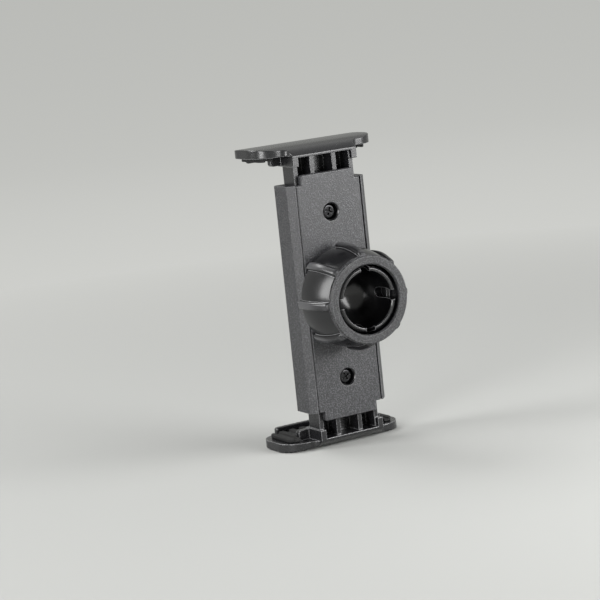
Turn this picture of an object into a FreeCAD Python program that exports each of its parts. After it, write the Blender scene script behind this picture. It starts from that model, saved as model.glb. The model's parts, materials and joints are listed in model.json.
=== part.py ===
"""Phone holder head: a spring-loaded clamp on a ball socket.

Millimetres. The origin is the centre of the ball that the socket takes.
Y points from the socket to the phone, Z up along the jaws' slide, X to the right.
"""
import math
import os

import FreeCAD
import Part

Vector = FreeCAD.Vector

# Driving sizes: the phone that the jaws hold in the stored pose, and the ball
phone_width = 75.7
phone_thickness = 8.3
ball_radius = 8.5

# Depths along Y, counted from the ball centre and stacked from the cover back
cover_front = ball_radius + 1.3
cover_back = cover_front + 1.6
housing_floor = cover_back + 6.0
housing_back = housing_floor + 1.25
pad_face = housing_back + 0.5
phone_front = pad_face + phone_thickness

# Clamp housing: a channel that is open at both ends
housing_half_width = 12.15
housing_half_length = phone_width / 2 - 6.85
bevel = 1.8
bevel_flat = 0.15
housing_back_round = 1.0
cover_pocket_half_width = housing_half_width - 1.95
slide_half_width = housing_half_width - 2.7
channel_corner = 0.4

# Back cover: plate with a tongue at each end, and the socket's neck
cover_half_width = cover_pocket_half_width - 0.3
tongue_half_width = slide_half_width - 1.3
tongue_end = housing_half_length + 2.6
tongue_corner = 0.6
shoulder_corner = 0.4
cover_edge = 0.25
neck_radius = ball_radius + 1.25
neck_root = 0.5

# Ball socket: four fingers with a tapered outside
socket_radius = ball_radius + 0.05
finger_taper_start = 0.0
finger_tip = -4.8
finger_tip_radius = ball_radius + 0.05
mouth_radius = ball_radius - 0.95
mouth_lead_in = 0.25
finger_tip_round = 0.3
slot_width = 2.7
slot_end = 4.0

# Screws and the posts that they join
screw_height = housing_half_length - 8.3
recess_radius = 2.25
recess_rim = 0.35
recess_floor = cover_front + 2.5
post_joint = recess_floor + 1.5
cover_post_radius = 2.7
housing_post_radius = 2.6
screw_hole_radius = 1.1
screw_head_radius = 2.05
screw_head_height = 1.35
screw_head_round = 0.65
screw_shank_radius = 0.95
screw_core_radius = 0.85
screw_tip = housing_floor - 0.3
screw_end_gap = 0.1
screw_point = 1.0
screw_point_radius = 0.2
drive_slot_width = 0.5
drive_slot_length = 2.3
drive_slot_depth = 0.75
upper_screw_turn = 22.0
lower_screw_turn = 61.0

# Locking nut, turned back from the plate by the gap behind it
nut_front = finger_tip - 0.9
nut_back = cover_front - 2.1
nut_front_radius = neck_radius + 2.1
nut_mouth_radius = finger_tip_radius + 0.8
nut_back_radius = neck_radius + 3.65
nut_waist_radius = nut_back_radius - 0.25
nut_waist = 1.0
nut_shoulder_radius = neck_radius + 1.95
nut_shoulder = nut_front + 1.6
nut_groove_radius = neck_radius + 1.55
nut_groove_width = 0.45
nut_groove_slope = 0.12
nut_thread_clearance = 0.07
nut_cone_start = nut_front + 0.8
nut_cone_end = -0.1
nut_undercut_end = 1.2
undercut_slope = 0.5
nut_front_chamfer = 0.35
nut_back_chamfer = 0.35

# The nut's grip ribs: their crest falls along a curve and ends in a nose at the front ring
rib_count = 8
rib_turn = 0.5
rib_width = 2.3
rib_root_radius = neck_radius + 1.35
rib_back_radius = nut_back_radius + 1.25
rib_middle_radius = nut_back_radius + 0.95
rib_nose_radius = nut_shoulder_radius + 1.5
rib_tip_radius = nut_front_radius - 0.25
rib_back_step = 0.3
rib_back_chamfer = 0.6
rib_round = 0.8

# Jaw arms: three channels that open toward the cover
arm_half_width = slide_half_width - 0.15
arm_front = cover_back + 0.15
arm_back = housing_floor - 0.15
channel_floor = arm_back - 1.15
arm_inner_end = 6.0
centre_channel_half_width = 2.85
arm_rib_outer = centre_channel_half_width + 1.2
side_channel_outer = arm_half_width - 1.2
stop_slot_start = arm_inner_end + 3.9
stop_slot_end = housing_half_length - 1.0

# Jaw root block and the flange behind it
block_start = housing_half_length + 5.0
block_half_width = cover_half_width
block_front = cover_front + 0.3
block_wall = 1.55
block_ceiling = block_start + 2.4
flange_half_width = block_half_width + 3.2
flange_start = block_start + 0.3
flange_back = arm_back + 1.15
flange_front = flange_back - 1.6
flange_corner = 0.8

# Jaw lip: a plate with rounded wings, whose top rolls down to the block's thin front edge
lip_inner = phone_width / 2 + 1.15
lip_crest = lip_inner + 2.5
lip_crest_depth = cover_front + 10.2
lip_arc_radius = 80.0
lip_roll_start = cover_front + 6.2
lip_front_edge = 0.55
lip_half_width = 18.7
wing_reach = lip_half_width - block_half_width
lip_near = block_front + 0.33 * wing_reach
lip_far = phone_front + 2.15
lip_near_corner = 0.72 * wing_reach
lip_far_corner = 5.0
lip_root_corner = 0.26 * wing_reach
lip_edge_round = 0.2
hook_half_width = lip_half_width - 4.7
hook_front = phone_front + 0.25
hook_tip = lip_inner - 2.1
hook_corner = 0.9
hook_round = 0.6

# Rubber pads
lip_pad_face = phone_width / 2
lip_pad_base = 0.5
lip_pad_half_width = lip_half_width - 2.1
lip_pad_back = phone_front - 0.05
lip_pad_front = flange_back + 0.3
lip_pad_horn_front = lip_near + 2.3
lip_pad_horn_inner = flange_half_width + 0.3
lip_pad_rib_pitch = 3.2
lip_pad_rib_width = 1.7
lip_pad_rib_count = 11
backing_pad_half_width = 7.8
backing_pad_start = 7.0
backing_pad_end = housing_half_length - 4.0
backing_pad_corner = 2.0
backing_pad_seat = 0.5
backing_pad_edge = 0.3

# Tension springs and what holds their ends
spring_side = (arm_rib_outer + side_channel_outer) / 2
spring_depth = cover_back + 2.5
spring_room = min(side_channel_outer - arm_rib_outer, channel_floor - cover_back)
spring_coil_radius = spring_room / 2 - 0.575
spring_wire_radius = 0.25
spring_turns = 9
spring_points_per_turn = 8
spring_hook_gap = 2.4
spring_hook_stagger = 0.45
spring_hook_steps = 7
spring_hook_clearance = 0.43
post_radius = 0.9
post_seat = 0.8
pin_height = housing_half_length - 1.0
pin_radius = 0.6
pin_inner_end = centre_channel_half_width + 0.35
pin_outer_end = arm_half_width - 0.3

# Length by which a cutting shape passes the face that it opens, and a joined one sinks in
over = 1.0
sink = 0.2


def plan(height):
    """Place a profile's (x, y) on the level plane at this height."""
    return lambda p: Vector(p.x, p.y, height)


def elevation(depth):
    """Place a profile's (x, z) on the upright plane at this depth."""
    return lambda p: Vector(p.x, depth, p.y)


def rounded_wire(corners, place):
    """Close a wire through corners (a, b, radius), each rounded by its radius."""
    stretches = []
    for index, (a, b, radius) in enumerate(corners):
        here = Vector(a, b, 0)
        if radius == 0:
            stretches.append((here, None, here))
            continue
        before = corners[index - 1]
        after = corners[(index + 1) % len(corners)]
        to_before = (Vector(before[0], before[1], 0) - here).normalize()
        to_after = (Vector(after[0], after[1], 0) - here).normalize()
        half_angle = to_before.getAngle(to_after) / 2
        reach = radius / math.tan(half_angle)
        inward = (to_before + to_after).normalize()
        centre = here + inward * (radius / math.sin(half_angle))
        stretches.append((here + to_before * reach, centre - inward * radius, here + to_after * reach))
    edges = []
    for index, (start, middle, end) in enumerate(stretches):
        if middle is not None:
            edges.append(Part.Arc(place(start), place(middle), place(end)).toShape())
        following = stretches[(index + 1) % len(stretches)][0]
        if (following - end).Length > 1e-6:
            edges.append(Part.makeLine(place(end), place(following)))
    return Part.Wire(edges)


def prism(corners, place, direction):
    return Part.Face(rounded_wire(corners, place)).extrude(direction)


def mirrored(half):
    """Complete an outline whose right half runs from bottom to top."""
    return half + [(-a, b, radius) for a, b, radius in reversed(half)]


def block(x_low, x_high, y_low, y_high, z_low, z_high):
    corner = Vector(x_low, y_low, z_low)
    return Part.makeBox(x_high - x_low, y_high - y_low, z_high - z_low, corner)


def rod(radius, y_low, y_high, x=0.0, z=0.0):
    """A round bar along Y."""
    return Part.makeCylinder(radius, y_high - y_low, Vector(x, y_low, z), Vector(0, 1, 0))


def turned(edges):
    """Revolve a closed (radius, y) profile about the Y axis."""
    face = Part.Face(Part.Wire(edges))
    return face.revolve(Vector(0, 0, 0), Vector(0, 1, 0), 360)


def profile_lines(points):
    vectors = [Vector(radius, y, 0) for radius, y in points]
    return [Part.makeLine(a, b) for a, b in zip(vectors, vectors[1:])]


def profile_arc(start, middle, end):
    points = [Vector(radius, y, 0) for radius, y in (start, middle, end)]
    return Part.Arc(*points).toShape()


def edges_at(shape, test):
    """Edges whose every vertex passes the test."""
    return [edge for edge in shape.Edges if all(test(vertex.Point) for vertex in edge.Vertexes)]


def near(value, target):
    return abs(value - target) < 1e-4


def half_turn(shape):
    """Turn a copy of an upper piece about Y, which makes the lower one."""
    copy = shape.copy()
    copy.rotate(Vector(0, 0, 0), Vector(0, 1, 0), 180)
    return copy


def clamp_housing():
    half_section = [
        (slide_half_width, housing_floor, channel_corner),
        (slide_half_width, cover_back, 0),
        (cover_pocket_half_width, cover_back, 0),
        (cover_pocket_half_width, cover_front, 0),
        (cover_pocket_half_width + bevel_flat, cover_front, 0),
        (housing_half_width, cover_front + bevel, 0.3),
        (housing_half_width, housing_back, housing_back_round),
    ]
    length = Vector(0, 0, 2 * housing_half_length)
    section = half_section + [(-x, y, radius) for x, y, radius in reversed(half_section)]
    shell = prism(section, plan(-housing_half_length), length)
    for side in (1, -1):
        height = side * screw_height
        shell = shell.fuse(rod(housing_post_radius, post_joint, housing_floor + sink, 0, height))
        shell = shell.cut(rod(screw_core_radius, post_joint - over, screw_tip + screw_end_gap, 0, height))
        shell = shell.cut(rod(post_radius, housing_floor - over, housing_floor + post_seat, side * spring_side, 0))
        seat = backing_pad(side, housing_back - backing_pad_seat, housing_back + over)
        shell = shell.cut(seat)
    return shell.removeSplitter()


def backing_pad(side, front, back):
    """A rounded pad on the upper or lower half of the housing's back."""
    ends = sorted((side * backing_pad_start, side * backing_pad_end))
    half = [
        (backing_pad_half_width, ends[0], backing_pad_corner),
        (backing_pad_half_width, ends[1], backing_pad_corner),
    ]
    return prism(mirrored(half), elevation(front), Vector(0, back - front, 0))


def finished_backing_pad(side):
    pad = backing_pad(side, housing_back - backing_pad_seat, pad_face)
    return pad.makeFillet(backing_pad_edge, edges_at(pad, lambda p: near(p.y, pad_face)))


def cover_plate():
    half = [
        (tongue_half_width, -tongue_end, tongue_corner),
        (tongue_half_width, -housing_half_length, shoulder_corner),
        (cover_half_width, -housing_half_length, shoulder_corner),
        (cover_half_width, housing_half_length, shoulder_corner),
        (tongue_half_width, housing_half_length, shoulder_corner),
        (tongue_half_width, tongue_end, tongue_corner),
    ]
    plate = prism(mirrored(half), elevation(cover_front), Vector(0, cover_back - cover_front, 0))
    return plate.makeChamfer(cover_edge, edges_at(plate, lambda p: near(p.y, cover_front)))


def socket_neck():
    """The neck and its fingers before they are slotted, with the ball's hollow."""
    tip_to_centre = -math.sqrt(socket_radius**2 - mouth_radius**2)
    middle = socket_radius * math.sqrt(0.5)
    root = cover_back - neck_root
    outer = [
        (0, root),
        (neck_radius + neck_root, root),
        (neck_radius + neck_root, cover_front),
        (neck_radius, cover_front - neck_root),
        (neck_radius, finger_taper_start),
        (finger_tip_radius + finger_tip_round * 0.5, finger_tip + finger_tip_round),
        (finger_tip_radius - finger_tip_round, finger_tip),
        (mouth_radius + mouth_lead_in, finger_tip),
        (mouth_radius, finger_tip + mouth_lead_in),
        (mouth_radius, tip_to_centre),
    ]
    edges = profile_lines(outer)
    edges.append(profile_arc((mouth_radius, tip_to_centre), (middle, middle), (0, socket_radius)))
    edges += profile_lines([(0, socket_radius), (0, root)])
    return turned(edges)


def finger_slot():
    """One slot right across the socket, with a round root."""
    across = 2 * (neck_radius + neck_root + over)
    half = slot_width / 2
    slot = block(-half, half, finger_tip - over, slot_end - half, -across / 2, across / 2)
    root = Part.makeCylinder(half, across, Vector(0, slot_end - half, -across / 2), Vector(0, 0, 1))
    return slot.fuse(root)


def back_cover():
    neck = socket_neck()
    reach = neck_radius + neck_root + over
    width_limit = block(-cover_half_width, cover_half_width, finger_tip - over, cover_back, -reach, reach)
    cover = cover_plate().fuse(neck.common(width_limit))
    slot = finger_slot()
    cover = cover.cut(slot)
    slot.rotate(Vector(0, 0, 0), Vector(0, 1, 0), 90)
    cover = cover.cut(slot)
    for height in (screw_height, -screw_height):
        cover = cover.fuse(rod(cover_post_radius, cover_back - sink, post_joint, 0, height))
        cover = cover.cut(rod(recess_radius, cover_front - over, recess_floor, 0, height))
        cover = cover.cut(rod(screw_hole_radius, cover_front, post_joint + over, 0, height))
        rim = Part.makeCone(
            recess_radius + recess_rim, recess_radius, recess_rim,
            Vector(0, cover_front, height), Vector(0, 1, 0))
        cover = cover.cut(rim)
    return cover.removeSplitter()


def screw(side, turn):
    """A pan-head screw with a cross recess, at the upper or lower post."""
    top = recess_floor - screw_head_height
    core = [
        (0, top),
        (screw_head_radius - screw_head_round, top),
    ]
    shoulder = (screw_head_radius, top + screw_head_round)
    bend = screw_head_round * (1 - math.sqrt(0.5))
    edges = profile_lines(core)
    edges.append(profile_arc(core[1], (screw_head_radius - bend, top + bend), shoulder))
    edges += profile_lines([
        shoulder,
        (screw_head_radius, recess_floor),
        (screw_shank_radius, recess_floor),
        (screw_shank_radius, screw_tip - screw_point),
        (screw_point_radius, screw_tip),
        (0, screw_tip),
        (0, top),
    ])
    body = turned(edges)
    half_long = drive_slot_length / 2
    half_wide = drive_slot_width / 2
    drive = block(-half_long, half_long, top - over, top + drive_slot_depth, -half_wide, half_wide)
    across = block(-half_wide, half_wide, top - over, top + drive_slot_depth, -half_long, half_long)
    body = body.cut(drive).cut(across)
    body.rotate(Vector(0, 0, 0), Vector(0, 1, 0), turn)
    body.translate(Vector(0, 0, side * screw_height))
    return body


def nut_rib():
    """One grip rib beside the X axis: rounded along its crest, with a nose at the ring."""
    back = nut_back - rib_back_step
    bend = nut_shoulder + 0.9
    crest_points = [
        (rib_back_radius, back - rib_back_chamfer),
        (rib_middle_radius, nut_waist),
        (rib_nose_radius, bend),
        (rib_nose_radius - 0.45, nut_shoulder - 0.2),
        (rib_tip_radius, nut_shoulder - 0.9),
    ]
    crest = Part.BSplineCurve()
    crest.interpolate([Vector(radius, y, 0) for radius, y in crest_points])
    edges = [crest.toShape()]
    edges += profile_lines([
        crest_points[-1],
        (rib_root_radius, nut_shoulder - 0.9),
        (rib_root_radius, back),
        (rib_back_radius - rib_back_chamfer, back),
        crest_points[0],
    ])
    face = Part.Face(Part.Wire(edges))
    rib = face.extrude(Vector(0, 0, rib_width))
    rib.translate(Vector(0, 0, -rib_width / 2))
    ends = (crest_points[0][1], crest_points[-1][1])
    along_crest = edges_at(rib, lambda p: near(p.y, ends[0]) or near(p.y, ends[1]))
    long_edges = [edge for edge in along_crest if edge.Length > 2 * rib_width]
    return rib.makeFillet(rib_round, long_edges)


def locking_nut():
    bore = neck_radius + nut_thread_clearance
    taper = (neck_radius - finger_tip_radius) / (finger_taper_start - finger_tip)
    undercut = nut_mouth_radius + taper * (nut_cone_end - nut_cone_start)
    front_edge = nut_front_radius - nut_front_chamfer
    ring_back = nut_shoulder - nut_groove_width
    edges = profile_lines([
        (nut_shoulder_radius, nut_shoulder),
        (nut_groove_radius, nut_shoulder - nut_groove_slope),
        (nut_groove_radius, ring_back),
        (nut_front_radius - nut_groove_slope, ring_back - nut_groove_slope),
        (nut_front_radius, ring_back - 2 * nut_groove_slope),
        (nut_front_radius, nut_front + nut_front_chamfer),
        (front_edge, nut_front),
        (nut_mouth_radius + nut_front_chamfer, nut_front),
        (nut_mouth_radius, nut_front + nut_front_chamfer),
        (nut_mouth_radius, nut_cone_start),
        (undercut, nut_cone_end),
        (undercut, nut_undercut_end),
        (bore, nut_undercut_end + undercut_slope),
        (bore, nut_back - nut_back_chamfer),
        (bore + nut_back_chamfer, nut_back),
        (nut_back_radius - nut_back_chamfer, nut_back),
        (nut_back_radius, nut_back - nut_back_chamfer),
    ])
    edges.append(profile_arc(
        (nut_back_radius, nut_back - nut_back_chamfer), (nut_waist_radius, nut_waist),
        (nut_shoulder_radius, nut_shoulder)))
    nut = turned(edges)
    rib = nut_rib()
    ribs = []
    for index in range(rib_count):
        copy = rib.copy()
        angle = rib_turn + index * 360 / rib_count
        copy.rotate(Vector(0, 0, 0), Vector(0, 1, 0), -angle)
        ribs.append(copy)
    return nut.fuse(ribs).removeSplitter()


def lip_top(y):
    """A point of the lip's side profile: a long low arch, rolled down to a thin front edge."""
    arch_centre = Vector(0, lip_crest_depth, lip_crest - lip_arc_radius)
    start_height = math.sqrt(lip_arc_radius**2 - (lip_roll_start - lip_crest_depth)**2)
    start = Vector(0, lip_roll_start, arch_centre.z + start_height)
    if y > lip_roll_start:
        return Vector(0, y, arch_centre.z + math.sqrt(lip_arc_radius**2 - (y - lip_crest_depth)**2))
    inward = (arch_centre - start).normalize()
    to_front = Vector(0, block_front, block_ceiling + lip_front_edge) - start
    roll_radius = to_front.Length**2 / (2 * inward.dot(to_front))
    roll_centre = start + inward * roll_radius
    return Vector(0, y, roll_centre.z + math.sqrt(roll_radius**2 - (y - roll_centre.y)**2))


def lip_envelope():
    """The lip's side profile drawn across the jaw."""
    front = block_front - sink
    far = lip_far + over
    start = lip_roll_start
    profile = [
        Part.Arc(lip_top(front), lip_top((front + start) / 2), lip_top(start)).toShape(),
        Part.Arc(lip_top(start), lip_top((start + far) / 2), lip_top(far)).toShape(),
    ]
    low = lip_inner - over
    rest = [lip_top(far), Vector(0, far, low), Vector(0, front, low), lip_top(front)]
    profile += [Part.makeLine(a, b) for a, b in zip(rest, rest[1:])]
    side_face = Part.Face(Part.Wire(profile))
    side_face.translate(Vector(-lip_half_width - over, 0, 0))
    return side_face.extrude(Vector(2 * (lip_half_width + over), 0, 0))


def jaw_lip():
    """The plate over the phone's edge, with the rim of its top rounded."""
    half = [
        (block_half_width, block_front, 0),
        (block_half_width, lip_near, lip_root_corner),
        (lip_half_width, lip_near, lip_near_corner),
        (lip_half_width, lip_far, lip_far_corner),
    ]
    thickness = lip_crest + over - lip_inner
    plate = prism(mirrored(half), plan(lip_inner), Vector(0, 0, thickness))
    front_bar = block(
        -block_half_width, block_half_width, block_front, lip_near, block_ceiling, lip_inner + sink)
    lip = plate.fuse(front_bar).removeSplitter().common(lip_envelope())
    top_edges = edges_at(lip, lambda p: near(p.z, lip_top(p.y).z))
    rim = [edge for edge in top_edges if not all(near(v.Y, lip_roll_start) for v in edge.Vertexes)]
    return lip.makeFillet(lip_edge_round, rim)


def jaw_hook():
    """The low bead that keeps the phone's front edge in."""
    half = [
        (hook_half_width, hook_front, hook_corner),
        (hook_half_width, lip_far, hook_corner),
    ]
    bead = prism(mirrored(half), plan(hook_tip), Vector(0, 0, lip_inner + sink - hook_tip))
    return bead.makeFillet(hook_round, edges_at(bead, lambda p: near(p.z, hook_tip)))


def jaw_arm():
    """The upper jaw's arm and root block before the lip is joined on."""
    inner_wall = block_half_width - block_wall
    arm = block(-arm_half_width, arm_half_width, arm_front, arm_back, arm_inner_end, lip_inner + sink)
    root = block(-block_half_width, block_half_width, block_front, flange_back, block_start, block_ceiling)
    bridge = block(
        -block_half_width, block_half_width, arm_front, flange_back, block_ceiling - sink, lip_inner + sink)
    arm = arm.fuse([root, bridge])
    pocket = block(-inner_wall, inner_wall, block_front - over, arm_front, arm_inner_end, block_ceiling)
    arm = arm.cut(pocket)
    centre = block(
        -centre_channel_half_width, centre_channel_half_width, block_front - over, channel_floor,
        arm_inner_end - over, block_ceiling)
    arm = arm.cut(centre)
    for side in (1, -1):
        low, high = sorted((side * arm_rib_outer, side * side_channel_outer))
        channel = block(
            low, high, block_front - over, channel_floor, arm_inner_end - over, block_ceiling)
        arm = arm.cut(channel)
    stop_slot = block(
        -centre_channel_half_width, centre_channel_half_width, block_front, arm_back + over,
        stop_slot_start, stop_slot_end)
    return arm.cut(stop_slot)


def jaw_flange():
    half = [
        (flange_half_width, flange_start, flange_corner),
        (flange_half_width, lip_inner + sink, 0),
    ]
    return prism(mirrored(half), elevation(flange_front), Vector(0, flange_back - flange_front, 0))


def upper_jaw():
    jaw = jaw_arm().fuse([jaw_lip(), jaw_flange(), jaw_hook()])
    for side in (1, -1):
        low, high = sorted((side * centre_channel_half_width, side * pin_outer_end))
        hole = Part.makeCylinder(
            pin_radius, high - low, Vector(low, spring_depth, pin_height), Vector(1, 0, 0))
        jaw = jaw.cut(hole)
    return jaw.removeSplitter()


def jaw_pad():
    """The ribbed rubber pad under the upper lip, with a horn on each side of the flange."""
    half = [
        (lip_pad_horn_inner, lip_pad_front, 0.4),
        (lip_pad_horn_inner, lip_pad_horn_front, 0.6),
        (lip_pad_half_width, lip_pad_horn_front, 2.4),
        (lip_pad_half_width, lip_pad_back, 1.5),
    ]
    outline = mirrored(half)
    base = prism(outline, plan(lip_inner - lip_pad_base), Vector(0, 0, lip_pad_base))
    rib_height = lip_inner - lip_pad_base - lip_pad_face
    envelope = prism(outline, plan(lip_pad_face), Vector(0, 0, rib_height))
    ribs = []
    first = -(lip_pad_rib_count - 1) / 2 * lip_pad_rib_pitch
    for index in range(lip_pad_rib_count):
        centre = first + index * lip_pad_rib_pitch
        rib = block(
            centre - lip_pad_rib_width / 2, centre + lip_pad_rib_width / 2,
            0, lip_pad_back, lip_pad_face, lip_pad_face + rib_height)
        ribs.append(rib.common(envelope))
    return base.fuse(ribs).removeSplitter()


def coil_path(side, stagger):
    """Centre line of an upper spring: loop on the post, coil, loop on the pin."""
    x = side * spring_side
    loop = post_radius + spring_hook_clearance
    pin_loop = pin_radius + spring_hook_clearance
    level = spring_depth + stagger
    points = []
    for step in range(spring_hook_steps):
        angle = math.radians(45 * (step - 4))
        points.append(Vector(x + loop * math.sin(angle), level, -loop * math.cos(angle)))
    start = loop + spring_hook_gap
    end = pin_height - pin_loop - spring_hook_gap
    steps = spring_turns * spring_points_per_turn
    for step in range(steps + 1):
        angle = 2 * math.pi * (step / spring_points_per_turn + 0.25)
        z = start + (end - start) * step / steps
        points.append(Vector(
            x + spring_coil_radius * math.sin(angle),
            spring_depth + spring_coil_radius * math.cos(angle), z))
    for step in range(spring_hook_steps):
        angle = math.radians(45 * (step - 1))
        points.append(Vector(
            x, spring_depth + pin_loop * math.sin(angle), pin_height - pin_loop * math.cos(angle)))
    return points


def wire_solid(points, radius):
    """A square-section wire along the points, made of flat facets."""
    rings = []
    guide = Vector(0, 1, 0)
    for index, point in enumerate(points):
        before = points[max(index - 1, 0)]
        after = points[min(index + 1, len(points) - 1)]
        along = (after - before).normalize()
        across = guide - along * guide.dot(along)
        across.normalize()
        third = along.cross(across)
        guide = across
        rings.append([point + across * radius, point + third * radius,
                      point - across * radius, point - third * radius])
    faces = [Part.Face(Part.makePolygon(rings[0] + rings[0][:1]))]
    for low, high in zip(rings, rings[1:]):
        for corner in range(4):
            following = (corner + 1) % 4
            for trio in ((low[corner], low[following], high[following]),
                         (low[corner], high[following], high[corner])):
                faces.append(Part.Face(Part.makePolygon(list(trio) + [trio[0]])))
    faces.append(Part.Face(Part.makePolygon(rings[-1] + rings[-1][:1])))
    shell = Part.Shell(faces)
    shell.sewShape()
    solid = Part.Solid(shell)
    if solid.Volume < 0:
        solid.reverse()
    return solid


def spring(side, stagger):
    return wire_solid(coil_path(side, stagger), spring_wire_radius * 1.2)


def spring_post(side):
    return rod(post_radius, cover_back, housing_floor + post_seat, side * spring_side, 0)


def spring_pin(side):
    low, high = sorted((side * pin_inner_end, side * pin_outer_end))
    return Part.makeCylinder(
        pin_radius, high - low, Vector(low, spring_depth, pin_height), Vector(1, 0, 0))


def build_parts():
    jaw = upper_jaw()
    pad = jaw_pad()
    parts = {
        "clamp_housing": clamp_housing(),
        "back_cover": back_cover(),
        "locking_nut": locking_nut(),
        "upper_jaw": jaw,
        "lower_jaw": half_turn(jaw),
        "upper_jaw_pad": pad,
        "lower_jaw_pad": half_turn(pad),
        "upper_backing_pad": finished_backing_pad(1),
        "lower_backing_pad": finished_backing_pad(-1),
        "upper_screw": screw(1, upper_screw_turn),
        "lower_screw": screw(-1, lower_screw_turn),
    }
    for name, side in (("left", -1), ("right", 1)):
        parts[name + "_spring_post"] = spring_post(side)
        parts["upper_" + name + "_spring"] = spring(side, -spring_hook_stagger)
        parts["upper_" + name + "_spring_pin"] = spring_pin(side)
        parts["lower_" + name + "_spring"] = half_turn(spring(-side, spring_hook_stagger))
        parts["lower_" + name + "_spring_pin"] = half_turn(spring_pin(-side))
    return parts


os.makedirs("parts", exist_ok=True)
for part_name, part_shape in build_parts().items():
    part_shape.exportStep("parts/" + part_name + ".step")
    print(part_name, part_shape.ShapeType, len(part_shape.Solids), round(part_shape.Volume, 2), part_shape.isValid())
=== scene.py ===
# %% [markdown]
# # A phone holder head, dressed for the camera
#
# The construction comes ready from the CAD model: every moulding is already in its place and in
# metres. This lesson gives the mouldings their finishes, models the pieces that a CAD solid only
# stands in for, and sets up the studio. The first cell loads the solids and notes their box.

import json
from math import cos, pi, radians, sin

import bpy
from mathutils import Matrix, Vector


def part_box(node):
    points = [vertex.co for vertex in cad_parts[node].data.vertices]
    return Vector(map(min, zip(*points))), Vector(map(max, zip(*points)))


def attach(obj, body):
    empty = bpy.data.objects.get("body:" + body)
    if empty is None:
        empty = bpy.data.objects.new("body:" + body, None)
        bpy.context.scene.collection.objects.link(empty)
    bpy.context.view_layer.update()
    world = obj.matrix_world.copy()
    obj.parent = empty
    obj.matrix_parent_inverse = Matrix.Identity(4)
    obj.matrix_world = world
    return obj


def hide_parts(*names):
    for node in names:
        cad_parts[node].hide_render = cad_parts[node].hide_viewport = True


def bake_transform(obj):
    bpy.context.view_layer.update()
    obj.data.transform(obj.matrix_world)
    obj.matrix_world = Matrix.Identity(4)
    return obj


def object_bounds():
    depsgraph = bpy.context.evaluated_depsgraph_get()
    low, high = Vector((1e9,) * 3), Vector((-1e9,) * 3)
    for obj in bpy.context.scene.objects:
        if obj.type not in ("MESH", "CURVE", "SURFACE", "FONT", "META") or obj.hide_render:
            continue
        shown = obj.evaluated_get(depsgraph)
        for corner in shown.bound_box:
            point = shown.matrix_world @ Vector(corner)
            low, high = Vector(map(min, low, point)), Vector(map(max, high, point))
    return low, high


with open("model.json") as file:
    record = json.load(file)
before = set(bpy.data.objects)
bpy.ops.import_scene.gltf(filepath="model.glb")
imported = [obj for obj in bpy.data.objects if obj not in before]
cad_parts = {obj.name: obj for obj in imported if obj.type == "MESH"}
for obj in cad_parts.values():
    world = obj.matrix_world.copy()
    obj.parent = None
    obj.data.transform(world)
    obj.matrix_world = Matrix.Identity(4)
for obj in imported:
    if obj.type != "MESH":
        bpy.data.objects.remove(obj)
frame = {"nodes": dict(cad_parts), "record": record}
cad_low, cad_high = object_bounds()
print("solids:", len(frame["nodes"]), "box in mm:", [round(1000 * v, 1) for v in cad_high - cad_low])

# %% [markdown]
# Sizes are easier to read in millimetres, and Blender works in metres, so one number converts
# between the two. The other values here are read off the solids, so that every new piece follows
# them.

# %% Units and places taken from the solids
mm = 0.001
lowest = cad_low.z
cover_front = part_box("clamp_housing")[0].y
nut_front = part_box("locking_nut")[0].y
print("floor at mm:", round(lowest / mm, 2), "plate's face at mm:", round(cover_front / mm, 2))

# %% [markdown]
# ## Camera
#
# The lens is a long one, from about half a metre away, a little above the holder and to the left
# of its socket. A camera is aimed along its own -Z axis, and to_track_quat turns it that way; the
# small roll afterwards tips the picture as the photograph is tipped.

# %% Camera
camera_place = Vector((-287.7, -479.2, 92.7)) * mm
camera_aim = Vector((-17.9, 0.0, 2.5)) * mm
camera_roll = radians(5.98)
focal_length = 127.67

camera_data = bpy.data.cameras.new("camera")
camera_data.lens = focal_length
camera_data.sensor_width = 36
camera_data.clip_start = 0.05
camera_data.clip_end = 20
camera = bpy.data.objects.new("camera", camera_data)
bpy.context.scene.collection.objects.link(camera)
camera.location = camera_place
aim = (camera_aim - camera_place).to_track_quat("-Z", "Y")
camera.rotation_euler = (aim.to_matrix() @ Matrix.Rotation(-camera_roll, 3, "Z")).to_euler()
bpy.context.scene.camera = camera
print("camera distance in mm:", round((camera_aim - camera_place).length / mm))

# %% [markdown]
# ## A small language for materials
#
# A material is a graph of nodes, and most of its nodes do arithmetic. Wrapping a socket in a class
# that knows +, - and * lets that arithmetic be written as plain Python. Every other kind of node
# comes from one method, node(), which takes the node's type, its settings and what feeds its
# sockets. The new material's own shader is a Principled BSDF.

# %% Finish and Value
class Value:
    """One output socket. Arithmetic on it adds Math nodes to its finish."""

    def __init__(self, finish, socket):
        self.finish = finish
        self.socket = socket

    def math(self, operation, *operands):
        feeds = dict(enumerate(operands))
        return self.finish.node("ShaderNodeMath", {"operation": operation}, feeds)

    def __add__(self, other):
        return self.math("ADD", self, other)

    def __radd__(self, other):
        return self.math("ADD", other, self)

    def __sub__(self, other):
        return self.math("SUBTRACT", self, other)

    def __rsub__(self, other):
        return self.math("SUBTRACT", other, self)

    def __mul__(self, other):
        return self.math("MULTIPLY", self, other)

    def __rmul__(self, other):
        return self.math("MULTIPLY", other, self)


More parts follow.
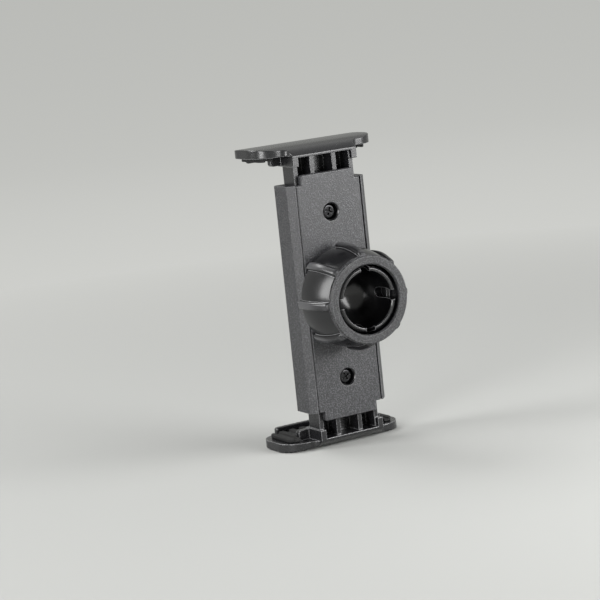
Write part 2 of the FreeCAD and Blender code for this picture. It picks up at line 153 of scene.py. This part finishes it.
class Finish:
    """A material and the few verbs that build it."""

    def __init__(self, name, **constants):
        self.material = bpy.data.materials.new(name)
        self.material.use_nodes = True
        self.tree = self.material.node_tree
        self.shader = self.tree.nodes["Principled BSDF"]
        for key, value in constants.items():
            self.shader.inputs[key.replace("_", " ")].default_value = value

    def node(self, kind, settings=None, feeds=None, output=0):
        made = self.tree.nodes.new(kind)
        for key, value in (settings or {}).items():
            setattr(made, key, value)
        for key, value in (feeds or {}).items():
            self.feed(made.inputs[key], value)
        return Value(self, made.outputs[output])

    def feed(self, socket, value):
        if isinstance(value, Value):
            self.tree.links.new(value.socket, socket)
        else:
            socket.default_value = value

    def drive(self, key, value):
        self.feed(self.shader.inputs[key], value)

    def place(self):
        return self.node("ShaderNodeTexCoord", output="Object")

    def axis(self, vector, letter):
        return self.node("ShaderNodeSeparateXYZ", feeds={0: vector}, output=letter)

    def mix(self, factor, first, second):
        """Blend two colours, each one a socket or a plain value. Sockets 6 and 7 take the colours."""
        feeds = {0: factor, 6: first, 7: second}
        return self.node("ShaderNodeMix", {"data_type": "RGBA"}, feeds, 2)

    def noise(self, size, detail=2.0, roughness=0.5):
        """A cloud pattern whose lumps are about size across, from 0 to 1."""
        feeds = {"Vector": self.place(), "Scale": 1.0 / size, "Detail": detail, "Roughness": roughness}
        return self.node("ShaderNodeTexNoise", feeds=feeds)

    def ramp(self, value, low, high):
        """Map low to 0 and high to 1, held at both ends."""
        feeds = {"Value": value, "From Min": low, "From Max": high}
        return self.node("ShaderNodeMapRange", {"clamp": True}, feeds)

    def bump(self, height, distance, strength=1.0, normal=None):
        feeds = {"Height": height, "Distance": distance, "Strength": strength}
        if normal is not None:
            feeds["Normal"] = normal
        return self.node("ShaderNodeBump", feeds=feeds)

    def rounded(self, radius):
        """A normal that rounds every sharp edge over this radius."""
        return self.node("ShaderNodeBevel", {"samples": bevel_samples}, {"Radius": radius})

    def length(self, first, second):
        """The length of a line that goes this far one way and this far across it."""
        square = first * first + second * second
        return square.math("SQRT", square)


bevel_samples = 8
print("materials so far:", len(bpy.data.materials))

# %% [markdown]
# ## The moulded plastics
#
# The plate and the housing come from a mould whose walls were roughened by sparks, so their black
# plastic is covered in fine grains that catch the light one by one. A single cloud pattern drives
# both the colour and the bump: its crowns stand proud, and are painted lighter as painted glints of
# the grains. The mould's cores, which shape the neck's inside and the screw recesses, were polished,
# so two masks take the grain away there and leave a shinier black, painted darker there as painted
# shade in the hollow neck and the recesses.
#
# Every edge of a moulding is slightly round. Cutting those tiny rounds into the solids would cost
# thousands of faces, so a Bevel node bends the normal over each edge instead. Where that bent
# normal leaves the true one there is an edge, and there the colour is painted brighter: partly the
# rubbing of use, partly a painted highlight along the edge.

# %% Moulded plastic
def edge_wear_and_highlight(finish, rounded):
    """1 on an edge, 0 on the flat, from how far the rounded normal leaves the true one."""
    flat = finish.node("ShaderNodeNewGeometry", output="Normal")
    dot = {"operation": "DOT_PRODUCT"}
    agreement = finish.node("ShaderNodeVectorMath", dot, {0: flat, 1: rounded}, "Value")
    return finish.ramp(1 - agreement, edge_mark_start, edge_mark_full)


def crowns(finish, size):
    """The grain of a spark-roughened mould: 1 on the top of each lump, 0 between them."""
    return finish.ramp(finish.noise(size, detail=3.0, roughness=0.62), crown_foot, crown_top)


def from_axis(finish):
    """How far a point lies from the Y axis, on which the neck, the ball and the nut are centred."""
    place = finish.place()
    return finish.length(finish.axis(place, "X"), finish.axis(place, "Z"))


def behind_the_face(finish):
    """0 in front of the plate's face and 1 behind it."""
    return finish.ramp(finish.axis(finish.place(), "Y"), cover_front, cover_front + 0.2 * mm)


def outside_the_neck(finish):
    """0 within the round neck, which stands in front of the plate, and 1 elsewhere."""
    beside = finish.ramp(from_axis(finish), neck_radius, neck_radius + 0.4 * mm)
    return beside.math("MAXIMUM", beside, behind_the_face(finish))


def in_a_screw_recess(finish):
    """1 on the walls of the two recesses that the screws sit in, and 0 elsewhere."""
    place = finish.place()
    across = finish.axis(place, "X") - screw_centre.x
    height = finish.axis(place, "Z")
    upward = height.math("ABSOLUTE", height) - screw_centre.z
    distance = finish.length(across, upward)
    beside = finish.ramp(distance, recess_radius + 0.3 * mm, recess_radius + 0.1 * mm)
    return beside * behind_the_face(finish)


def moulded_plastic(name, dark, light, worn_and_highlight, roughness, grain_size, grain_depth, edge_radius, ior):
    """A black moulding, grained but for the neck and recesses, which polished cores moulded."""
    finish = Finish(name, IOR=ior)
    rounded = finish.rounded(edge_radius)
    wear_and_highlight = edge_wear_and_highlight(finish, rounded)
    outside = outside_the_neck(finish) * (1 - in_a_screw_recess(finish))
    grain_and_glint = crowns(finish, grain_size) * outside
    handling = finish.noise(handling_size)
    # The grain's crowns are painted lighter: painted glints of the grains.
    grained = finish.mix(grain_and_glint * (0.5 + 0.6 * handling), dark, light)
    # The polished zones are painted darker: painted shade in the hollow neck and the screw recesses.
    colour = finish.mix(outside, polished_and_shaded_black, grained)
    # Edges are painted lighter: partly wear, partly a painted highlight along the edge.
    finish.drive("Base Color", finish.mix(wear_and_highlight * 0.7, colour, worn_and_highlight))
    moulded = roughness - polished_roughness + 0.10 * (handling - 0.5) - 0.10 * grain_and_glint
    finish.drive("Roughness", polished_roughness + outside * moulded)
    finish.drive("Normal", finish.bump(grain_and_glint, grain_depth, 1.0, rounded))
    return finish.material


edge_mark_start = 0.02
edge_mark_full = 0.16
handling_size = 16 * mm
crown_foot = 0.47
crown_top = 0.70
polished_roughness = 0.20
neck_radius = 9.9 * mm
recess_radius = 2.25 * mm
screw_centre = sum(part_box("upper_screw"), Vector()) / 2
polished_and_shaded_black = (0.004, 0.004, 0.0045, 1)
plate_grain = 0.36 * mm
body_plastic = moulded_plastic(
    "grained black plastic", dark=(0.016, 0.016, 0.018, 1), light=(0.100, 0.101, 0.108, 1),
    worn_and_highlight=(0.33, 0.33, 0.34, 1), roughness=0.40, grain_size=plate_grain, grain_depth=0.036 * mm,
    edge_radius=0.30 * mm, ior=1.54)
print(body_plastic.name, "has", len(body_plastic.node_tree.nodes), "nodes")

# %% [markdown]
# The jaws come from a smoother mould. Their lips have a soft satin shine with hardly any grain, so
# the same recipe serves with shallower lumps and less roughness. The lips are pulled apart each time
# that the holder is loaded, so their edges are rounder and well rubbed, and painted lighter: partly
# that rubbing, partly a painted highlight.

# %% Jaw plastic
jaw_plastic = moulded_plastic(
    "satin black plastic", dark=(0.008, 0.008, 0.009, 1), light=(0.018, 0.018, 0.020, 1),
    worn_and_highlight=(0.32, 0.32, 0.33, 1), roughness=0.29, grain_size=plate_grain, grain_depth=0.004 * mm,
    edge_radius=0.34 * mm, ior=1.58)
print("finishes so far:", [material.name for material in bpy.data.materials if material.use_nodes])

# %% [markdown]
# The nut is the shiniest moulding, apart from its front ring, which is as grained as the plate, with
# the same painted glints on the crowns of its grain. The ring is the part of the nut in front of a
# certain depth, so a mask on the object's own Y coordinate tells the two zones apart, and mixes their
# colour, roughness and grain. Turning the nut rubs the crests of its ribs, so what stands proud of
# the barrel, measured from the axis, is painted a little lighter: partly that rubbing, partly a
# painted highlight along the crests.

# %% Nut plastic
def nut_plastic():
    finish = Finish("nut black plastic", IOR=1.50)
    rounded = finish.rounded(nut_edge_radius)
    wear_and_highlight = edge_wear_and_highlight(finish, rounded)
    depth = finish.axis(finish.place(), "Y")
    ring = finish.ramp(depth, ring_back, ring_back - ring_blend)
    grain_and_glint = crowns(finish, plate_grain) * ring
    ripple = finish.noise(ripple_size)
    narrowing = finish.ramp(depth, barrel_widest, ring_back)
    barrel = barrel_radius - (barrel_radius - shoulder_radius) * narrowing * narrowing
    rubbed_and_lit_crest = finish.ramp(from_axis(finish) - barrel, rib_flank, rib_crest)
    # Rib crests are painted lighter: partly rubbing, partly a painted highlight along the crests.
    smooth = finish.mix(rubbed_and_lit_crest, (0.008, 0.008, 0.009, 1), (0.065, 0.065, 0.068, 1))
    # The ring's grain crowns are painted lighter: painted glints of the grains.
    colour = finish.mix(grain_and_glint, smooth, (0.105, 0.106, 0.112, 1))
    # The nut's edges are painted lighter: partly wear, partly a painted highlight along the edge.
    finish.drive("Base Color", finish.mix(wear_and_highlight * 0.8, colour, (0.36, 0.36, 0.37, 1)))
    finish.drive("Roughness", 0.22 + 0.22 * ring + 0.07 * (ripple - 0.5) - 0.08 * grain_and_glint)
    finish.drive("Normal", finish.bump(grain_and_glint + 0.08 * ripple, 0.055 * mm, 1.0, rounded))
    return finish.material


nut_edge_radius = 0.26 * mm
ripple_size = 2.4 * mm
rib_flank = 0.7 * mm
rib_crest = 1.2 * mm
ring_back = nut_front + 1.2 * mm
ring_blend = 0.15 * mm
barrel_widest = nut_front + 7.7 * mm
barrel_radius = 13.3 * mm
shoulder_radius = 11.7 * mm
nut_finish = nut_plastic()
print("front ring ends at mm:", round(ring_back / mm, 2))

# %% [markdown]
# ## Rubber and steel
#
# Rubber is the opposite of a shiny moulding: very rough, a touch lighter where dust has settled, with
# a skin of fine pores. The screws are steel under a black glaze-like plating, which is smooth and
# mirrors the lamps, and thin on the edges of the cross recess, whose lighter colour there is partly
# worn plating and partly painted glints. The springs, posts and pins are plain drawn steel, whose
# shine is streaked by the die that the wire was pulled through.

# %% Rubber and steel
def rubber():
    finish = Finish("matt black rubber", Specular_IOR_Level=0.3)
    pores = finish.noise(pore_size)
    dust = finish.ramp(finish.noise(dust_size, detail=4.0), 0.5, 0.8)
    colour = finish.mix(dust * 0.3, (0.007, 0.007, 0.007, 1), (0.034, 0.033, 0.031, 1))
    finish.drive("Base Color", colour)
    finish.drive("Roughness", 0.66 + 0.14 * dust + 0.08 * (pores - 0.5))
    finish.drive("Normal", finish.bump(pores, 0.02 * mm, 0.7))
    return finish.material


def plated_screw():
    finish = Finish("black-plated steel", Coat_Weight=0.25, Coat_Roughness=0.08)
    rounded = finish.rounded(screw_edge_radius)
    wear_and_highlight = edge_wear_and_highlight(finish, rounded)
    mottle = finish.noise(mottle_size, detail=3.0)
    plating = finish.mix(mottle, (0.012, 0.012, 0.013, 1), (0.028, 0.028, 0.030, 1))
    # The recess edges are painted lighter and more metallic: partly worn plating, partly painted
    # glints.
    finish.drive("Base Color", finish.mix(wear_and_highlight * 0.5, plating, (0.42, 0.42, 0.43, 1)))
    finish.drive("Metallic", 0.85 + 0.15 * wear_and_highlight)
    finish.drive("Roughness", 0.14 + 0.12 * mottle)
    finish.drive("Normal", rounded)
    return finish.material


def drawn_steel():
    finish = Finish("drawn steel", Metallic=1.0)
    streaks = finish.noise(streak_size, detail=4.0)
    finish.drive("Base Color", finish.mix(streaks, (0.42, 0.42, 0.43, 1), (0.60, 0.60, 0.61, 1)))
    finish.drive("Roughness", 0.24 + 0.14 * streaks)
    finish.drive("Normal", finish.bump(streaks, 0.006 * mm, 0.5))
    return finish.material


pore_size = 0.25 * mm
dust_size = 4 * mm
screw_edge_radius = 0.12 * mm
mottle_size = 0.5 * mm
streak_size = 0.25 * mm
pad_rubber = rubber()
screw_steel = plated_screw()
spring_steel = drawn_steel()
print("finishes:", len(bpy.data.materials))

# %% [markdown]
# Each solid now takes the finish of the slot that its record names. A solid keeps its mesh as it
# came, and only its material changes.

# %% Give the solids their finishes
finish_of_slot = {
    "body_plastic": body_plastic,
    "jaw_plastic": jaw_plastic,
    "nut_plastic": nut_finish,
    "pad_rubber": pad_rubber,
    "screw_black": screw_steel,
    "spring_steel": spring_steel,
}
for entry in frame["record"]["subparts"]:
    solid = frame["nodes"][entry["node"]]
    solid.data.materials.clear()
    solid.data.materials.append(finish_of_slot[entry["material_slot"]])

# %% [markdown]
# ## Rubber pads
#
# Four pads touch what the holder grips: one under each lip, with ribs across it, and two on the
# flat side of the housing, which cover the hard plastic. Real ones are moulded rubber, so every rib
# has a round crown and every corner is soft, while the solids have sharp ones.
#
# The ribs could be drawn again from a plane, with an inset and a bevel for each. It is shorter to
# begin with the solid itself, because it already fits its seat. A copy is welded, a Remesh modifier
# turns it into small even squares, a Smooth modifier relaxes those, which rounds what was sharp and
# leaves the flats alone, and a Decimate modifier thins out the squares that the flats don't need.

# %% Soft copies of the pads
def soft_pad(node, square, passes):
    """A relaxed copy of a pad's solid, made of even squares about this size."""
    bpy.ops.object.select_all(action="DESELECT")
    pad = bpy.data.objects.new("soft_" + node, frame["nodes"][node].data.copy())
    bpy.context.scene.collection.objects.link(pad)
    pad.select_set(True)
    bpy.context.view_layer.objects.active = pad
    bpy.ops.mesh.customdata_custom_splitnormals_clear()
    bpy.ops.object.mode_set(mode="EDIT")
    bpy.ops.mesh.select_all(action="SELECT")
    bpy.ops.mesh.remove_doubles(threshold=0.001 * mm)
    bpy.ops.object.mode_set(mode="OBJECT")
    squares = pad.modifiers.new("even squares", "REMESH")
    squares.voxel_size = square
    relax = pad.modifiers.new("relax", "SMOOTH")
    relax.factor = 0.5
    relax.iterations = passes
    thin = pad.modifiers.new("thin out", "DECIMATE")
    thin.ratio = 0.3
    for modifier in (squares, relax, thin):
        bpy.ops.object.modifier_apply(modifier=modifier.name)
    bpy.ops.object.shade_smooth()
    pad.data.materials.clear()
    pad.data.materials.append(pad_rubber)
    return pad


pad_bodies = {
    "upper_jaw_pad": "upper_slide",
    "lower_jaw_pad": "lower_slide",
    "upper_backing_pad": "holder",
    "lower_backing_pad": "holder",
}
square_size = 0.16 * mm
relax_passes = 9
for node, body in pad_bodies.items():
    pad = soft_pad(node, square_size, relax_passes)
    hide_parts(node)
    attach(pad, body)
    print(pad.name, "triangles:", sum(len(face.vertices) - 2 for face in pad.data.polygons))

# %% [markdown]
# ## Springs
#
# Four small tension springs pull the jaws together. Each is one length of wire: a loop round the
# post in the housing, a leg, the coil, another leg, and a loop round the jaw's pin. The solids have
# a coarse coil of a few turns, good enough for weight and room, and the real one is wound closer.
#
# A coil can be spun with a Screw modifier, but the loops and legs would then be separate pieces with
# seams. A curve with a round section is closer to how the thing is made: the wire keeps its
# thickness wherever it is bent, and one path is one piece. The path is worked out by a loop, from
# the box of the solid that it replaces, and then made a mesh.

# %% The wire's path
wire_radius = 0.27 * mm
coil_turns = 24
points_in_a_turn = 14
points_in_a_loop = 12
leg = 2.4 * mm
loop_clearance = 0.43 * mm
loop_stagger = 0.45 * mm
coil_slack = 0.03 * mm


def arc(centre, down, side, radius, first, last):
    """Points round a centre, from one share of a turn to another. Share 0 lies downwards."""
    points = []
    for step in range(points_in_a_loop + 1):
        angle = 2 * pi * (first + (last - first) * step / points_in_a_loop)
        points.append(centre + radius * (cos(angle) * down + sin(angle) * side))
    return points


def wire_path(node, direction):
    """From the loop on the post, along the coil, to the loop on the jaw's pin."""
    low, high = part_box(node)
    centre = (low + high) / 2
    up = Vector((0, 0, direction))
    right = Vector((direction, 0, 0))
    back = Vector((0, 1, 0))
    post = Vector((centre.x, centre.y - direction * loop_stagger, 0))
    pin = Vector((centre.x, centre.y, direction * pin_height))
    coil_radius = (high.x - low.x) / 2 - wire_radius - coil_slack
    start = post_loop + leg
    end = pin_height - pin_loop - leg
    path = arc(post, -up, right, post_loop, -0.5, 0.25)
    steps = coil_turns * points_in_a_turn
    for step in range(steps + 1):
        angle = 2 * pi * (step / points_in_a_turn + 0.25)
        level = Vector((centre.x, centre.y, 0)) + up * (start + (end - start) * step / steps)
        path.append(level + coil_radius * (sin(angle) * right + cos(angle) * back))
    path.extend(arc(pin, -up, back, pin_loop, -0.125, 0.625))
    return path


post_low, post_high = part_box("left_spring_post")
pin_low, pin_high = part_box("upper_left_spring_pin")
post_loop = (post_high.z - post_low.z) / 2 + loop_clearance
pin_loop = (pin_high.z - pin_low.z) / 2 + loop_clearance
pin_height = (pin_high.z + pin_low.z) / 2
print("loop radii in mm:", round(post_loop / mm, 2), round(pin_loop / mm, 2))

# %% [markdown]
# The post stays with the housing and the pin leaves with its jaw, so the wire has to stretch
# between the two.

# %% Wind the springs
def wind_spring(node, direction):
    path = wire_path(node, direction)
    curve = bpy.data.curves.new("wire", "CURVE")
    curve.dimensions = "3D"
    curve.bevel_depth = wire_radius
    curve.bevel_resolution = 1
    curve.use_fill_caps = True
    spline = curve.splines.new("POLY")
    spline.points.add(len(path) - 1)
    for point, place in zip(spline.points, path):
        point.co = (*place, 1.0)
    wire = bpy.data.objects.new("wound_" + node, curve)
    bpy.context.scene.collection.objects.link(wire)
    bpy.ops.object.select_all(action="DESELECT")
    wire.select_set(True)
    bpy.context.view_layer.objects.active = wire
    bpy.ops.object.convert(target="MESH")
    bpy.ops.object.shade_smooth()
    wire.data.materials.append(spring_steel)
    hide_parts(node)
    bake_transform(wire)
    return wire


for side in ("left", "right"):
    wind_spring("upper_" + side + "_spring", 1)
    wind_spring("lower_" + side + "_spring", -1)
wound = bpy.data.objects["wound_upper_left_spring"]
print("turns a spring:", coil_turns, "faces:", len(wound.data.polygons))

# %% [markdown]
# ## Studio
#
# The holder stands in a pale round cove: a floor whose rim curves up into a wall on every side, so
# that no corner or horizon shows, wherever the camera goes. It is a cylinder without its lid, whose
# bottom edge is rounded by a bevel. The lamps light the paper unevenly, so further from the holder it
# turns into a glowing tone that slowly darkens with distance, a painted falloff of light, for the
# camera and for whatever mirrors it. Round the holder it stays lit, and keeps the shadow.

# %% Cove
def cove():
    bpy.ops.object.select_all(action="DESELECT")
    bpy.ops.mesh.primitive_cylinder_add(
        vertices=cove_sides, radius=cove_radius, depth=cove_height,
        location=(0, 0, lowest + cove_height / 2))
    room = bpy.context.object
    room.name = "cove"
    bpy.ops.object.transform_apply(location=True, rotation=False, scale=False)
    bpy.ops.object.mode_set(mode="EDIT")
    bpy.ops.mesh.select_all(action="DESELECT")
    bpy.ops.object.mode_set(mode="OBJECT")
    for face in room.data.polygons:
        face.select = face.normal.z > 0.5
    bpy.ops.object.mode_set(mode="EDIT")
    bpy.ops.mesh.delete(type="FACE")
    bpy.ops.object.mode_set(mode="OBJECT")
    floor_level = lowest + 1 * mm
    for edge in room.data.edges:
        edge.select = all(room.data.vertices[v].co.z < floor_level for v in edge.vertices)
    bpy.ops.object.mode_set(mode="EDIT")
    bpy.ops.mesh.bevel(offset=cove_bend, segments=20)
    bpy.ops.mesh.select_all(action="SELECT")
    bpy.ops.mesh.flip_normals()
    bpy.ops.object.mode_set(mode="OBJECT")
    bpy.ops.object.shade_smooth()
    return room


def paper():
    """Lit paper round the holder, which further off glows with a painted tone that darkens with
    distance.
    """
    finish = Finish("pale paper", Roughness=0.9)
    finish.drive("Base Color", (*floor_colour, 1))
    place = finish.place()
    distance = finish.length(finish.axis(place, "X"), finish.axis(place, "Y"))
    # The far paper glows with a painted tone, darker with distance: a painted falloff of light.
    painted_tone = finish.mix(finish.ramp(distance, fade_start, cove_radius), (*painted_near_tone, 1), (*painted_far_tone, 1))
    painted_glow = finish.node("ShaderNodeEmission", feeds={"Color": painted_tone})
    seen = finish.node("ShaderNodeLightPath", output="Is Camera Ray")
    mirrored = finish.node("ShaderNodeLightPath", output="Is Glossy Ray")
    through = finish.node("ShaderNodeLightPath", output="Is Transmission Ray")
    looked_at = seen + mirrored + through
    share = finish.ramp(distance, fade_start, fade_end) * looked_at
    lit = Value(finish, finish.shader.outputs["BSDF"])
    surface = finish.node("ShaderNodeMixShader", feeds={0: share, 1: lit, 2: painted_glow})
    finish.feed(finish.tree.nodes["Material Output"].inputs["Surface"], surface)
    return finish.material


floor_colour = (0.44, 0.445, 0.43)
painted_near_tone = (0.66, 0.665, 0.64)
painted_far_tone = (0.46, 0.465, 0.445)
fade_start = 0.08
fade_end = 0.40
cove_sides = 96
cove_radius = 1.5
cove_height = 1.8
cove_bend = 0.6
backdrop = cove()
backdrop.data.materials.append(paper())
print("cove faces:", len(backdrop.data.polygons))

# %% [markdown]
# A black glossy thing is drawn by what it mirrors, and five soft boxes are there to be mirrored. The
# key stands at the right, where the plate and the ring mirror it towards the camera, and it greys
# their grain. The front left box puts one clean upright highlight on the nut's barrel, and the tall
# strip behind it brightens the bevel. The top strip shines along the upper lip, and the large
# overhead box casts the soft shadow. The world adds just enough for the shadows to stay open.

# %% Lamps
def soft_box(name, direction, distance, width, height, radiance):
    """A rectangle that shines on the holder from this direction, with this brightness of its face."""
    data = bpy.data.lights.new(name, "AREA")
    data.shape = "RECTANGLE"
    data.size = width
    data.size_y = height
    data.energy = radiance * pi * width * height
    box = bpy.data.objects.new(name, data)
    towards = Vector(direction).normalized()
    box.location = holder_centre + distance * towards
    box.rotation_euler = (-towards).to_track_quat("-Z", "Y").to_euler()
    bpy.context.scene.collection.objects.link(box)
    return box


holder_centre = (cad_low + cad_high) / 2
soft_box("key", (0.60, -0.78, 0.34), distance=0.36, width=0.28, height=0.24, radiance=9.2)
soft_box("left strip", (-0.85, 0.28, 0.42), distance=0.60, width=0.22, height=0.44, radiance=8.0)
soft_box("front left", (-0.84, -0.50, 0.16), distance=0.60, width=0.20, height=0.24, radiance=15.5)
soft_box("top strip", (-0.15, 0.62, 0.77), distance=0.60, width=0.30, height=0.20, radiance=7.0)
soft_box("overhead", (0.15, 0.35, 0.92), distance=1.10, width=1.60, height=1.30, radiance=0.42)

world = bpy.data.worlds.new("room")
world.use_nodes = True
room = world.node_tree.nodes["Background"]
room.inputs["Color"].default_value = (0.80, 0.81, 0.80, 1)
room.inputs["Strength"].default_value = 0.12
bpy.context.scene.world = world
bpy.context.scene.view_settings.view_transform = "Standard"
print("lamps:", [lamp.name for lamp in bpy.data.lights])
